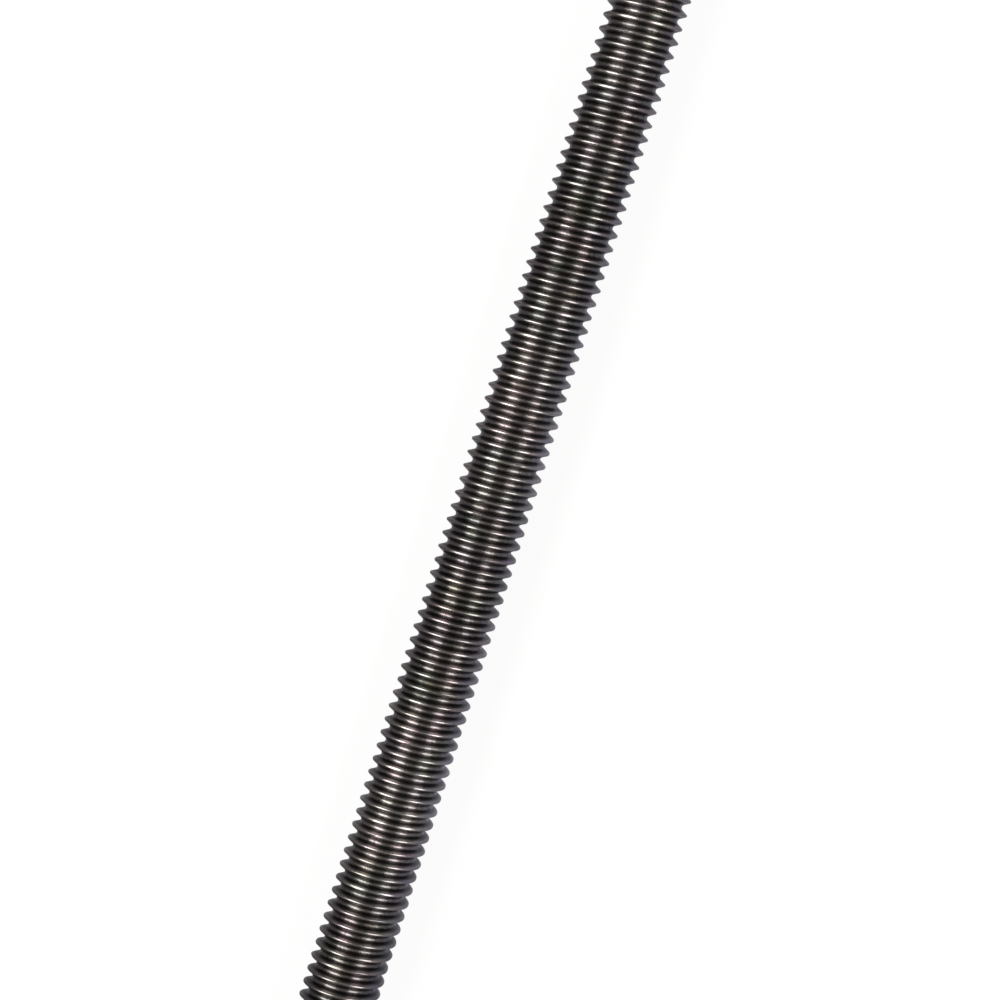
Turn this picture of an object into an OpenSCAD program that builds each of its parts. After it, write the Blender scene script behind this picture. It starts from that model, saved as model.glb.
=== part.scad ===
// Threaded rod with a right-hand thread from end to end, lying along X.
// The origin is on the rod's axis, midway between its two end faces.
// The solid is the round bar that the thread's crests lie on. The fine helix isn't cut in it.

/* [Rod] */
// Length from one end face to the other
rod_length = 152.4; // [50:0.1:1000]
// Outer diameter, over the crests of the thread
major_d = 7.94; // [4:0.01:20]

/* [Thread] */
// Distance along the rod from one crest to the next
pitch = 1.411; // [0.5:0.001:2.5]
// Depth from crest to root as a share of the pitch
depth_share = 0.53; // [0.5:0.001:0.65]

/* [Ends] */
// Angle between the bevel at each end and the rod's axis
bevel_angle = 45; // [30:1:60]
// How far the bevels go below the root of the thread
bevel_below_root = 0.05; // [0:0.01:0.3]

/* [Hidden] */
$fn = 96;
steel_colour = [0.24, 0.23, 0.225];
major_r = major_d / 2;
half_length = rod_length / 2;
thread_depth = depth_share * pitch;
bevel_depth = thread_depth + bevel_below_root;
bevel_length = bevel_depth / tan(bevel_angle);
face_r = major_r - bevel_depth;
wall_end = half_length - bevel_length;

// Half of the rod's long section: radius across, place along the axis up
module half_section() {
    polygon([
        [0, -half_length],
        [face_r, -half_length],
        [major_r, -wall_end],
        [major_r, wall_end],
        [face_r, half_length],
        [0, half_length],
    ]);
}

// The whole rod: one turned bar with a bevel at each end
module rod() {
    color(steel_colour)
        rotate([0, 90, 0])
            rotate_extrude()
                half_section();
}

rod();
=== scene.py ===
import math

import bpy
import numpy as np
from mathutils import Matrix, Vector


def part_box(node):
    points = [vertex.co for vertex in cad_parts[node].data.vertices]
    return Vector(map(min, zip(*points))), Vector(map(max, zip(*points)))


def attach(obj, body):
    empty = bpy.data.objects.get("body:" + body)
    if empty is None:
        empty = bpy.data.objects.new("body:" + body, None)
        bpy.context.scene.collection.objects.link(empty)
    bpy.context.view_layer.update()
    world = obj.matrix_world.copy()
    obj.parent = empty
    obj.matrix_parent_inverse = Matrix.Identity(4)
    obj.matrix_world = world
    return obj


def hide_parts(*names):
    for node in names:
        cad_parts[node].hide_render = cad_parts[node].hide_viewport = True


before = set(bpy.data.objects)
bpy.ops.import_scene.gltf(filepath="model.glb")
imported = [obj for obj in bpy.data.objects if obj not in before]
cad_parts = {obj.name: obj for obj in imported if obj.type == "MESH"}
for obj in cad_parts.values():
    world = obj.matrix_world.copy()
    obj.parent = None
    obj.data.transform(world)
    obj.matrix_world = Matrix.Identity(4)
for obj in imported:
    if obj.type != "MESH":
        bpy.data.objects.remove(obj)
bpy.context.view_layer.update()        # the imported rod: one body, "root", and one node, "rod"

rodLow, rodHigh = (np.array(corner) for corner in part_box("rod"))
rodRadius = float(rodHigh[2] - rodLow[2]) / 2
rodHalf = float(rodHigh[0] - rodLow[0]) / 2
floorLevel = float(rodLow[2])
print("frame loaded: rod", round(2 * rodHalf, 4), "m long,", round(2 * rodRadius, 5), "m across")


class Wire:
    # Wraps one output of a node. Operators on it add Math nodes, and node() adds any other kind.
    def __init__(self, tree, socket=None):
        self.tree = tree
        self.socket = socket

    def node(self, kind, settings=None, sockets=None, output=0):
        made = self.tree.nodes.new(kind)
        for name, value in (settings or {}).items():
            setattr(made, name, value)
        for name, value in (sockets or {}).items():
            if isinstance(value, Wire):
                self.tree.links.new(value.socket, made.inputs[name])
            else:
                made.inputs[name].default_value = value
        return Wire(self.tree, made.outputs[output] if len(made.outputs) else None)

    def output(self, name):  # another output of the same node
        return Wire(self.tree, self.socket.node.outputs[name])

    def maths(self, operation, first, second=0.0):
        return self.node("ShaderNodeMath", {"operation": operation}, {0: first, 1: second})

    def vectors(self, operation, sockets, output="Vector"):  # Vector Math on this and the sockets given
        return self.node("ShaderNodeVectorMath", {"operation": operation}, {0: self, **sockets}, output)

    def __add__(self, other):
        return self.maths("ADD", self, other)

    def __sub__(self, other):
        return self.maths("SUBTRACT", self, other)

    def __rsub__(self, other):
        return self.maths("SUBTRACT", other, self)

    def __mul__(self, other):
        return self.maths("MULTIPLY", self, other)

    def __truediv__(self, other):
        return self.maths("DIVIDE", self, other)

    def __rtruediv__(self, other):
        return self.maths("DIVIDE", other, self)

    def __abs__(self):
        return self.maths("ABSOLUTE", self)

    __radd__ = __add__
    __rmul__ = __mul__

    def ramp(self, low, high):  # 0 below low, 1 above high, smooth between
        return self.node("ShaderNodeMapRange", {"interpolation_type": "SMOOTHSTEP"},
                         {"Value": self, "From Min": low, "From Max": high})

    def mixed(self, first, second):  # a colour between two, by this value
        return self.node("ShaderNodeMix", {"data_type": "RGBA"}, {0: self, 6: first, 7: second}, 2)

    def noise(self, size, detail, distortion=0.0):  # uneven value from 0 to 1 at this place, mostly near 0.5
        sizes = size if isinstance(size, tuple) else (size, size, size)
        return self.node("ShaderNodeTexNoise", None, {
            "Vector": self.vectors("DIVIDE", {1: sizes}), "Scale": 1.0, "Detail": detail,
            "Distortion": distortion})


def newMaterial(name):
    material = bpy.data.materials.new(name)
    material.use_nodes = True
    material.node_tree.nodes.clear()
    return material, Wire(material.node_tree)


rodShape = {
    "pitch": 1.411e-3,          # from crest to crest along the rod, metres
    "depth": 0.53,              # from crest to root; this and the next three are shares of the pitch
    "crestFlat": 0.018,         # half the flat on the crest where the rolling filled it
    "crestRound": 0.085,        # radius between that flat and the flanks
    "crestAt": 0.109,           # how far behind the middle of the rod a crest crosses the top line
    "flankAngle": 60,           # turn of the surface from crest to flank, degrees
    "crestPoints": 3,           # points on each of the crest's arcs, and on each of the root's
    "rootPoints": 4,
    "segments": 64,             # faces round one turn
    "faceBelowRoot": 0.05e-3,   # how far the bevels reach below the root, metres
    "snap": 0.02,               # points nearer an end than this share of the pitch go onto its rim
    "capRings": (0.66, 0.33),   # rings on the end faces, as shares of their radius
    "sharpFrom": 38,            # an edge that turns by more than this many degrees stays sharp
    "unevenSeed": 7,
    "crestSpread": 0.027,       # how much wider half the flat is where it was filled least, a share again
    "seam": 0.016,              # depth of the lap left in the middle of the crest
    "crestSway": 0.014,         # how far the crest wanders along the rod, and the root
    "rootSway": 0.008,
    "nicks": (                  # mm along the rod, degrees from the top towards -Y, mm long, mm deep, lean
        (42.1, 90, 0.50, 0.26, 0.5),
        (11.4, 92, 0.45, 0.18, -0.4),
        (-35.2, -88, 0.50, 0.22, 0.5),
        (-50.3, -92, 0.60, 0.20, -0.4),
        (24.9, 35, 0.40, 0.08, 0.3),
        (-8.3, -30, 0.35, 0.07, -0.3),
        (63.0, 200, 0.60, 0.16, 0.4),
        (-22.5, 150, 0.50, 0.15, -0.4),
        (-66.5, 60, 0.45, 0.12, 0.3),
    ),
}
threadDepth = rodShape["pitch"] * rodShape["depth"]
faceRadius = rodRadius - threadDepth - rodShape["faceBelowRoot"]   # of the end faces


def wander(turnsAlong, seed, slowest, fastest):
    # A smooth uneven line from about -1 to 1: twice the mean of sine waves whose counts per turn lie between
    # slowest and fastest, with seeded phases.
    count = 8
    chance = np.random.default_rng(seed)
    rates = np.geomspace(slowest, fastest, count) * chance.uniform(0.9, 1.1, count)
    phases = chance.uniform(0, 2 * np.pi, count)
    waves = np.sin(2 * np.pi * rates * turnsAlong[..., None] + phases)
    return 2 * waves.mean(axis=-1)


def threadSection(shape):
    # One section from root to root, with the crest at 0, in shares of the pitch. Each half is a flat, an arc
    # of radius c that turns to the flank, the straight flank, and an arc of radius q in the root. With half
    # the flat f and the depth h, a 60 degree V is 0.866 high, so q = 0.866 - 1.732 f - c - h.
    turn = math.radians(shape["flankAngle"])
    flat, crest, depth = shape["crestFlat"], shape["crestRound"], shape["depth"]
    root = math.tan(turn) * (0.5 - flat) - crest - depth
    bend = np.linspace(0, turn, shape["crestPoints"])
    hollow = np.linspace(turn, 0, shape["rootPoints"])
    place = np.concatenate([[0], flat + crest * np.sin(bend), 0.5 - root * np.sin(hollow)])
    drop = np.concatenate([[0], crest * (1 - np.cos(bend)), depth - root * (1 - np.cos(hollow))])
    return np.concatenate([-place[:0:-1], place]), np.concatenate([drop[:0:-1], drop])


def threadGrid(shape, place, drop):
    # Row i is a point of the section on one of the turns, column j an angle a = 2 pi j / segments. With s the
    # row's place plus its turn, x = pitch (s + a / 2 pi - crestAt) and the radius r = R - pitch * drop. A row
    # and the one a turn on meet where a closes, so the grid is one right-handed strip.
    steps = len(place) - 1
    turns = int(2 * rodHalf / shape["pitch"]) + 5
    turn, step = np.divmod(np.arange(turns * steps), steps)
    angle = 2 * np.pi * np.arange(shape["segments"]) / shape["segments"]
    s = turn + place[step] - turns // 2
    x = shape["pitch"] * (s[:, None] + angle[None, :] / (2 * np.pi) - shape["crestAt"])
    r = np.repeat(rodRadius - shape["pitch"] * drop[step][:, None], shape["segments"], axis=1)
    return turn, step, angle, x, r


def rollUnevenly(shape, turnsAlong, side, middle, high, x, r):
    # Where a wander is above 0, half the crest's flat is wider by crestSpread times it, and lower by tan 60
    # times that, which leaves the flanks straight. The middle of the crest sinks by seam where a second
    # wander is above 0. The crest and the root sway along the rod, more the nearer a point is to either.
    pitch, seed = shape["pitch"], shape["unevenSeed"]
    spread = shape["crestSpread"] * np.clip(wander(turnsAlong, seed, 0.2, 6), 0, 1)
    lap = shape["seam"] * np.clip(wander(turnsAlong, seed + 1, 0.3, 7), 0, 1)
    steepness = math.tan(math.radians(shape["flankAngle"]))
    x += pitch * side * spread
    r -= pitch * ((np.abs(side) + middle) * steepness * spread + middle * lap)
    x += pitch * high * shape["crestSway"] * wander(turnsAlong, seed + 2, 0.1, 5)
    x += pitch * (1 - high) * shape["rootSway"] * wander(turnsAlong, seed + 3, 0.1, 4)


def pressNicks(shape, angle, high, x, r):
    # A nick lowers the crest by deep (1 - 1.5 q) e^-q, with q = (2 d / length)^2 at a distance d from its
    # middle, so that its rim stands up as a burr, and pushes it along the rod by lean times that.
    for along, around, length, deep, lean in shape["nicks"]:
        turned = np.remainder(angle[None, :] - math.radians(around) + np.pi, 2 * np.pi) - np.pi
        q = ((turned * rodRadius) ** 2 + (x - along * 1e-3) ** 2) / (length * 0.5e-3) ** 2
        dent = deep * 1e-3 * np.sqrt(high) * (1 - 1.5 * q) * np.exp(-q)
        r -= dent
        x += lean * dent


def cutBevels(shape, x, r):
    # No point stays outside a 45 degree cone at either end. Where the thread crosses the cone, the nearer of
    # the two points slides to the crossing, which keeps the cut's edge clean. Gives -1 or 1 for the points
    # that belong on the rim of an end face, and 0 for the others.
    over = r - faceRadius - rodHalf + np.abs(x)
    share = over[:-1] / np.where(over[:-1] == over[1:], 1, over[:-1] - over[1:])
    crossing = over[:-1] * over[1:] < 0
    cutX = x[:-1] + share * (x[1:] - x[:-1])
    cutR = r[:-1] + share * (r[1:] - r[:-1])
    first, second = crossing & (share < 0.5), crossing & (share >= 0.5)
    x[:-1][first], r[:-1][first] = cutX[first], cutR[first]
    x[1:][second], r[1:][second] = cutX[second], cutR[second]
    atEnd = np.where(np.abs(x) > rodHalf - shape["snap"] * shape["pitch"], np.sign(x), 0).astype(int)
    r[:] = np.minimum(r, faceRadius + rodHalf - np.abs(x))
    return atEnd


def placedPoints(shape, angle, x, r):
    # The grid's points, y = -r sin a and z = r cos a, then a rim and rings for each end face, then the two
    # middle points. Gives the rings' numbers too, by end, ring and column.
    shares = np.array((1,) + shape["capRings"])
    ends = np.array([-rodHalf, rodHalf])
    allX = np.concatenate([x.ravel(), np.repeat(ends, len(shares) * len(angle)), ends])
    allR = np.concatenate([r.ravel(), np.tile(np.repeat(shares * faceRadius, len(angle)), 2), [0, 0]])
    allAngle = np.concatenate([np.tile(angle, len(x) + 2 * len(shares)), [0, 0]])
    points = np.stack([allX, -allR * np.sin(allAngle), allR * np.cos(allAngle)], axis=1)
    rings = x.size + np.arange(2 * len(shares) * len(angle)).reshape(2, len(shares), len(angle))
    return points, rings


def stripFaces(steps, atEnd, rings):
    # Each face spans a row and the next, and a column and the next, which after the last column is the first
    # one of the row a turn on. Points that belong on a rim are replaced by the rim's own.
    index = np.arange(atEnd.size).reshape(atEnd.shape)
    index = np.where(atEnd < 0, rings[0, 0], np.where(atEnd > 0, rings[1, 0], index))
    after = np.full_like(index, rings[1, 0, 0])   # the last turn has no next one, but lies past the end
    after[:, :-1] = index[:, 1:]
    after[:-steps, -1] = index[steps:, 0]
    return np.stack([index[:-1], after[:-1], after[1:], index[1:]], axis=-1).reshape(-1, 4)


def endFaces(rings, firstMiddle):
    # Each face spans a ring and the one inside it, and the last one ends in the middle point.
    faces = []
    for end in (0, 1):
        middle = np.full(rings.shape[2], firstMiddle + end)
        for outer, inner in zip(rings[end], (*rings[end, 1:], middle)):
            corners = [outer, np.roll(outer, -1), np.roll(inner, -1), inner]
            faces.append(np.stack(corners if end else corners[::-1], axis=-1))
    return np.concatenate(faces)


def surfacePlaces(shape, place, drop, turn, step, capPoints):
    # Two places on a flat map for each corner of each face. "grain" is metres along the helix and metres
    # across the section, or Y and Z on the end faces. "OFBake" has every face apart: the turns in strips
    # side by side, and the end faces beside them.
    strips, stripsWide, gap = 3, 0.94, 0.004
    spot, spotFill, spotHeights = (1 - stripsWide) / 2, 0.9, (0.25, 0.75)
    across = np.concatenate([[0], np.cumsum(np.hypot(np.diff(place), np.diff(drop)))]) * shape["pitch"]
    rowTurn, rowStep = turn[:-1, None, None], step[:-1, None, None]
    column = (np.arange(shape["segments"])[None, :, None] + np.array([0, 1, 1, 0])) / shape["segments"]
    along = (rowTurn + column) * 2 * np.pi * rodRadius
    section = np.broadcast_to(across[rowStep + np.array([0, 0, 1, 1])], along.shape)
    grain = np.stack([along, section], axis=-1).reshape(-1, 4, 2)

    perStrip = -(-(turn[-1] + 1) // strips)
    bakeU = (rowTurn // perStrip + gap + (1 - 2 * gap) * column) / strips * stripsWide
    bakeV = (rowTurn % perStrip + section / across[-1]) / perStrip
    bake = np.stack([np.broadcast_to(bakeU, bakeV.shape), bakeV], axis=-1).reshape(-1, 4, 2)

    capPlace = capPoints[..., 1:] / faceRadius * spot * spotFill
    capBake = np.stack([1 - spot + capPlace[..., 0],
                        np.where(capPoints[..., 0] > 0, *spotHeights) + capPlace[..., 1]], axis=-1)
    return {"OFBake": np.concatenate([bake, capBake]), "grain": np.concatenate([grain, capPoints[..., 1:]])}


def newPiece(name, points, corners, places, sharpFrom):
    # A corner that repeats the next one falls away, and so does a face with fewer than three left.
    kept = corners != np.roll(corners, -1, axis=1)
    whole = kept.sum(axis=1) > 2
    kept &= whole[:, None]
    count = kept.sum(axis=1)[whole]
    used, loops = np.unique(corners[kept], return_inverse=True)

    mesh = bpy.data.meshes.new(name)
    mesh.vertices.add(len(used))
    mesh.vertices.foreach_set("co", points[used].astype(np.float32).ravel())
    mesh.loops.add(len(loops))
    mesh.loops.foreach_set("vertex_index", loops.astype(np.int32))
    mesh.polygons.add(len(count))
    mesh.polygons.foreach_set("loop_start", (np.cumsum(count) - count).astype(np.int32))
    mesh.update(calc_edges=True)
    for title, table in places.items():
        layer = mesh.uv_layers.new(name=title)
        layer.data.foreach_set("uv", table[kept].astype(np.float32).ravel())
    mesh.validate()
    mesh.shade_smooth()
    mesh.set_sharp_from_angle(angle=math.radians(sharpFrom))
    piece = bpy.data.objects.new(name, mesh)
    bpy.context.scene.collection.objects.link(piece)
    even = piece.modifiers.new("evenShading", "WEIGHTED_NORMAL")
    even.keep_sharp = True
    return piece


def threadedRod(shape, name):
    place, drop = threadSection(shape)
    turn, step, angle, x, r = threadGrid(shape, place, drop)
    turnsAlong = turn[:, None] + angle[None, :] / (2 * np.pi)
    side = (np.sign(place) * (drop < shape["depth"] / 2))[step][:, None]   # -1 or 1 on the crest's edges
    middle = (drop == 0)[step][:, None] & (side == 0)
    high = ((1 - drop / shape["depth"]) ** 2)[step][:, None]               # 1 on the crest, 0 in the root
    rollUnevenly(shape, turnsAlong, side, middle, high, x, r)
    pressNicks(shape, angle, high, x, r)
    atEnd = cutBevels(shape, x, r)
    points, rings = placedPoints(shape, angle, x, r)
    caps = endFaces(rings, len(points) - 2)
    corners = np.concatenate([stripFaces(len(place) - 1, atEnd, rings), caps])
    places = surfacePlaces(shape, place, drop, turn, step, points[caps])
    return newPiece(name, points, corners, places, shape["sharpFrom"])


steelFinish = {
    "crest": (0.384, 0.36, 0.35, 1),      # lighter, as painted highlight on the crest
    # darker, as painted shade on the flanks, and the root lighter again as painted highlight
    "flankWithPaintedShade": (0.089, 0.083, 0.083, 1),
    "root": (0.243, 0.228, 0.222, 1),
    "cut": (0.45, 0.432, 0.42, 1),        # the bevels and end faces
    "edgeTint": (0.85, 0.85, 0.85, 1),    # what steep angles keep of the light
    "crestFrom": 0.42,                    # heights in the thread, 0 at the root and 1 at the crest
    "crestFull": 0.97,
    "rootFull": 0.05,
    "rootTo": 0.23,
    "borderFine": 0.25,                   # how far the fine grain shifts those heights, and the patches
    "borderPatch": 0.2,
    "cutFrom": 0.01e-3,                   # metres under the cut where its colour starts to fade
    "cutTo": 0.04e-3,                     # and where it is gone; all sizes below are in metres too
    "tintSpread": 0.30,                   # how far red, green and blue drift apart
    "tintPatch": 3.2e-3,
    "shadeSpread": 0.5,                   # how far the same patches drift lighter and darker
    "driftLength": 40e-3,                 # slow change along the rod, lightest at driftFrom
    "driftFrom": 9e-3,
    "driftShade": 0.11,
    "stain": (0.098, 0.083, 0.068, 1),    # dried oil in the thread
    "stainPatch": 2.6e-3,
    "stainFrom": 0.66,                    # a lower value gives more stains
    "stainSoft": 0.1,                     # width of their edges in the same measure
    "stainLow": 0.1,                      # how much more easily the root is stained than the crest
    "stainCover": 0.75,
    # grime in a fine grain over the flanks and root, which also darkens them as painted shade
    "grimeAndShade": (0.039, 0.036, 0.035, 1),
    "fineGrain": 0.35e-3,
    "grimeAndShadeFrom": 0.5,
    "grimeAndShadeFull": 0.72,
    "grimeAndShadeCover": 0.6,
    "roughness": 0.29,
    "roughnessSpread": 0.10,
    "stainRoughness": 0.16,
    "streakLength": 2.2e-3,               # marks of the rolling dies, along the thread
    "streakWidth": 0.045e-3,
    "streakDepth": 0.45e-6,
    "streakShade": 0.28,
    "waveSize": 1.3e-3,                   # slow unevenness that breaks the highlights up
    "waveDepth": 9e-6,
    "pitSize": 0.22e-3,
    "pitDepth": 2e-6,
    "pitFrom": 0.62,
    "pitFull": 0.74,
    "ringSpacing": 0.2e-3,                # turning marks on the end faces
    "ringDepth": 7e-6,
    "ringSway": 6,                        # how far they wander, radians
    "oil": 0.35,                          # most that the oil film covers
    "oilPatch": 3.1e-3,
    "oilFrom": 0.48,
    "oilFull": 0.66,
    "oilRoughness": 0.12,
    "oilIndex": 1.45,
}


def darkSteel(finish):
    material, start = newMaterial("darkSteel")
    place = start.node("ShaderNodeTexCoord", None, None, "Object")
    grain = start.node("ShaderNodeUVMap", {"uv_map": "grain"})
    along = start.node("ShaderNodeSeparateXYZ", None, {0: place}, "X")
    radius = place.vectors("MULTIPLY", {1: (0, 1, 1)}).vectors("LENGTH", {}, "Value")

    # where: height in the thread, the cut ends, and the uneven fields
    height = (radius - (rodRadius - threadDepth)) / threadDepth
    toEnd = rodHalf - abs(along)
    underCone = faceRadius + toEnd - radius
    cut = start.maths("MAXIMUM", 1 - underCone.ramp(finish["cutFrom"], finish["cutTo"]),
                      1 - toEnd.ramp(finish["cutFrom"], finish["cutTo"]))
    patch = place.noise(finish["tintPatch"], detail=3)
    fine = place.noise(finish["fineGrain"], detail=4)
    streak = grain.noise((finish["streakLength"], finish["streakWidth"], 1), detail=3)
    blot = place.noise(finish["stainPatch"], detail=4, distortion=0.6)
    wave = place.noise(finish["waveSize"], detail=1)
    uneven = height + (fine - 0.5) * finish["borderFine"] + (patch - 0.5) * finish["borderPatch"]

    # colour: crest, root and flank by height, with painted highlight on the crest and root and painted shade
    # on the flank, then grime with more painted shade, stains and the cut ends over them
    # painted highlight on the crest and root and painted shade on the flank, mixed by height
    crest = uneven.ramp(finish["crestFrom"], finish["crestFull"])
    root = 1 - uneven.ramp(finish["rootFull"], finish["rootTo"])
    colour = crest.mixed(root.mixed(finish["flankWithPaintedShade"], finish["root"]), finish["crest"])
    # grime and painted shade: the fine grain darkens all but the crest
    grimeAndShadeMask = fine.ramp(finish["grimeAndShadeFrom"], finish["grimeAndShadeFull"]) * (1 - crest) * finish["grimeAndShadeCover"]
    colour = grimeAndShadeMask.mixed(colour, finish["grimeAndShade"])
    stained = (blot + (0.5 - height) * finish["stainLow"]).ramp(
        finish["stainFrom"], finish["stainFrom"] + finish["stainSoft"])
    colour = (stained * finish["stainCover"]).mixed(colour, finish["stain"])
    colour = cut.mixed(colour, finish["cut"])

    # tint and shade: colour * (1 + (patch - 0.5) spread) in each of red, green and blue, then all together
    spread = finish["tintSpread"]
    tint = patch.output("Color").vectors("MULTIPLY_ADD", {1: (spread,) * 3, 2: (1 - spread / 2,) * 3})
    waves = (along - finish["driftFrom"]) * (2 * math.pi / finish["driftLength"])
    drift = start.maths("COSINE", waves) * finish["driftShade"]
    shade = 1 + (streak - 0.5) * finish["streakShade"] + (patch - 0.5) * finish["shadeSpread"]
    colour = colour.vectors("MULTIPLY", {1: tint}).vectors("SCALE", {"Scale": shade * (1 + drift)})

    # roughness and the oil film
    roughness = (finish["roughness"] + (fine - 0.5) * finish["roughnessSpread"]
                 + (streak - 0.5) * finish["roughnessSpread"] + stained * finish["stainRoughness"])
    film = place.noise(finish["oilPatch"], detail=3, distortion=0.4)
    oil = film.ramp(finish["oilFrom"], finish["oilFull"]) * finish["oil"]

    # relief, as heights in metres
    pits = place.noise(finish["pitSize"], detail=2).ramp(finish["pitFrom"], finish["pitFull"])
    turning = radius * (2 * math.pi / finish["ringSpacing"]) + (patch - 0.5) * finish["ringSway"]
    relief = (streak * finish["streakDepth"] + wave * finish["waveDepth"] - pits * finish["pitDepth"]
              + start.maths("SINE", turning) * cut * finish["ringDepth"])
    bump = start.node("ShaderNodeBump", None, {"Height": relief, "Strength": 1.0, "Distance": 1.0})

    shader = start.node("ShaderNodeBsdfPrincipled", None, {
        "Base Color": colour, "Metallic": 1.0, "Roughness": roughness, "Specular Tint": finish["edgeTint"],
        "Coat Weight": oil, "Coat Roughness": finish["oilRoughness"], "Coat IOR": finish["oilIndex"],
        "Normal": bump})
    start.node("ShaderNodeOutputMaterial", None, {"Surface": shader})
    return material


rod = threadedRod(rodShape, "threadedRod")
rod.data.materials.append(darkSteel(steelFinish))
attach(rod, "root")
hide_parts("rod")
triangles = sum(len(face.vertices) - 2 for face in rod.data.polygons)
print("rod made:", len(rod.data.vertices), "points,", triangles, "triangles")


studio = {
    "floorSide": 8.0,                     # metres
    "floorColour": (0.15, 0.15, 0.15, 1),
    "floorGlow": 0.88,                    # for the camera: with the lamps' light it comes to white
    "shineLeft": (0.025, 0.01, 0.02, 1),  # what the floor adds to the steel's reflections on its +Y side
    "shineRight": (0.2, 0.206, 0.286, 1),   # and on its -Y side
    "sideBlend": 0.015,                   # half the width of the change between the sides, metres
    "shineNear": (0.2, 0.2, 0.2, 1),      # more of it next to the rod, on both sides
    "nearFrom": 0.0062,                   # metres from the rod's axis, to either side, where that fades
    "nearTo": 0.0078,
    "shineFar": (0.059, 0.052, 0.066, 1),   # in place of shineLeft and shineRight beyond farFull
    "farFrom": 0.02,                      # metres from the middle where the lit floor gives way to a glow
    "farFull": 0.12,
    "lampDistance": 1.2,                  # from the rod to each softbox
    "lampLength": 1.28,                   # along the rod
    "lampAhead": 0.05,                    # how far the softboxes stand towards the +X end
    "lamps": (                            # degrees from straight up, degrees wide, radiance, colour
        ("softboxLeft", 44, 36, 4.75, (1, 0.965, 0.945)),
        ("softboxRight", -42.3, 29, 4.0, (1, 0.97, 0.96)),
    ),
    "backdrop": (1, 1, 1, 1),
    "horizon": (0.391, 0.375, 0.383, 1),  # what the steel shows of the backdrop
    "horizonTo": 0.04,                    # how high it reaches, as a share of the way to straight up
    "horizonFade": 0.02,
    "horizonLean": 0.23,                  # how much higher it reaches on the -Y side
    "ceiling": (0.14, 0.134, 0.123, 1),
    "pastEnds": (0.115, 0.115, 0.115, 1),   # the ceiling past the rod's ends
    "pastFrom": 0.45,                     # shares of the way from straight up to along the rod
    "pastFull": 0.85,
}


def floorPiece(setting):
    side = setting["floorSide"] / 2
    mesh = bpy.data.meshes.new("floor")
    corners = [(x, y, floorLevel) for x, y in ((-side, -side), (side, -side), (side, side), (-side, side))]
    mesh.from_pydata(corners, [], [(0, 1, 2, 3)])
    floor = bpy.data.objects.new("floor", mesh)
    bpy.context.scene.collection.objects.link(floor)

    # The camera sees a glow that the lamps' light fills up to white outside the rod's shadow. The steel sees
    # the floor's own grey in that light, with the shine added.
    material, start = newMaterial("paleFloor")
    rays = start.node("ShaderNodeLightPath")
    camera = rays.output("Is Camera Ray")
    reflected = rays.output("Is Glossy Ray") + rays.output("Is Transmission Ray")
    place = start.node("ShaderNodeTexCoord", None, None, "Object")
    far = place.vectors("LENGTH", {}, "Value").ramp(setting["farFrom"], setting["farFull"])
    sideways = start.node("ShaderNodeSeparateXYZ", None, {0: place}, "Y")
    toLeft = sideways.ramp(-setting["sideBlend"], setting["sideBlend"])
    near = 1 - abs(sideways).ramp(setting["nearFrom"], setting["nearTo"])
    seen = far * (1 - setting["floorGlow"]) + setting["floorGlow"]
    shine = far.mixed(toLeft.mixed(setting["shineRight"], setting["shineLeft"]), setting["shineFar"])
    shine = start.node("ShaderNodeMix", {"data_type": "RGBA", "blend_type": "ADD"}, {
        0: near, 6: shine, 7: setting["shineNear"]}, 2)
    glow = start.node("ShaderNodeEmission", None, {
        "Color": camera.mixed(shine, setting["backdrop"]), "Strength": camera * seen + reflected})
    diffuse = start.node("ShaderNodeBsdfDiffuse", None, {
        "Color": far.mixed(setting["floorColour"], (0, 0, 0, 1))})
    both = start.node("ShaderNodeAddShader", None, {0: diffuse, 1: glow})
    start.node("ShaderNodeOutputMaterial", None, {"Surface": both})
    mesh.materials.append(material)


def softboxes(setting):
    # Each lamp's power is its radiance times pi times its area, and it faces the middle of the rod.
    for name, lean, width, radiance, colour in setting["lamps"]:
        lamp = bpy.data.lights.new(name, "AREA")
        lamp.shape = "RECTANGLE"
        lamp.size = setting["lampLength"]
        lamp.size_y = 2 * setting["lampDistance"] * math.tan(math.radians(width / 2))
        lamp.energy = radiance * math.pi * lamp.size * lamp.size_y
        lamp.color = colour
        holder = bpy.data.objects.new(name, lamp)
        bpy.context.scene.collection.objects.link(holder)
        up = Vector((0, math.sin(math.radians(lean)), math.cos(math.radians(lean))))
        across = Vector((1, 0, 0))
        turned = Matrix((across, up.cross(across), up)).transposed().to_4x4()
        spot = up * setting["lampDistance"] + across * setting["lampAhead"]
        holder.matrix_world = Matrix.Translation(spot) @ turned


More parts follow.
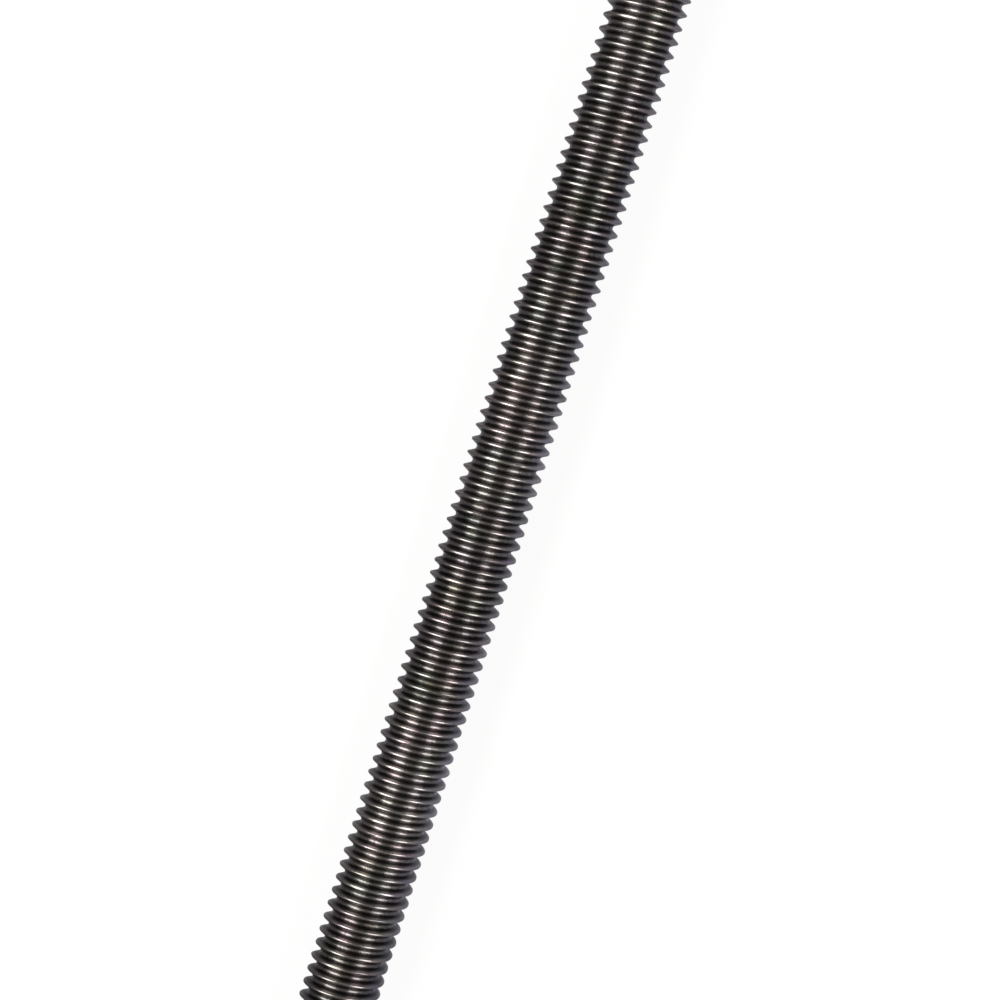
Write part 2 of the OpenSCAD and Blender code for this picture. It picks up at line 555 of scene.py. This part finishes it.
def surroundings(setting):
    world = bpy.data.worlds.new("studio")
    bpy.context.scene.world = world
    world.use_nodes = True
    world.node_tree.nodes.clear()
    start = Wire(world.node_tree)
    way = start.node("ShaderNodeTexCoord", None, None, "Generated")
    parts = start.node("ShaderNodeSeparateXYZ", None, {0: way})
    camera = start.node("ShaderNodeLightPath", None, None, "Is Camera Ray")
    height = parts.output("Z") + parts.output("Y") * setting["horizonLean"]
    above = height.ramp(setting["horizonTo"], setting["horizonTo"] + setting["horizonFade"])
    past = abs(parts.output("X")).ramp(setting["pastFrom"], setting["pastFull"])
    ceiling = past.mixed(setting["ceiling"], setting["pastEnds"])
    colour = camera.mixed(above.mixed(setting["horizon"], ceiling), setting["backdrop"])
    glow = start.node("ShaderNodeBackground", None, {"Color": colour, "Strength": 1.0})
    start.node("ShaderNodeOutputWorld", None, {"Surface": glow})


floorPiece(studio)
softboxes(studio)
surroundings(studio)
print("studio made")


viewpoint = {
    "lens": 112.5,           # millimetres
    "sensor": 36,
    "distance": 0.3118,      # metres from the middle of the rod
    "tilt": 6.17,            # degrees from straight down, towards the +X end
    "lean": 17.33,           # degrees that the rod leans to the right in the picture
    "aside": 0.59e-3,        # metres that the camera stands to the right of the rod's axis
    "nearest": 0.01,         # metres, nothing nearer is drawn
}


def makeCamera(setting):
    tilt, lean = math.radians(setting["tilt"]), math.radians(setting["lean"])
    back = Vector((math.sin(tilt), 0, math.cos(tilt)))
    alongRod = Vector((math.cos(tilt), 0, -math.sin(tilt)))
    acrossRod = Vector((0, -1, 0))
    up = alongRod * math.cos(lean) - acrossRod * math.sin(lean)
    right = alongRod * math.sin(lean) + acrossRod * math.cos(lean)
    data = bpy.data.cameras.new("camera")
    data.lens = setting["lens"]
    data.sensor_width = setting["sensor"]
    data.clip_start = setting["nearest"]
    camera = bpy.data.objects.new("camera", data)
    bpy.context.scene.collection.objects.link(camera)
    place = Matrix((right, up, back)).transposed().to_4x4()
    place.translation = back * setting["distance"] + acrossRod * setting["aside"]
    camera.matrix_world = place
    bpy.context.scene.camera = camera


makeCamera(viewpoint)
bpy.context.scene.view_settings.view_transform = "Standard"
print("camera made")
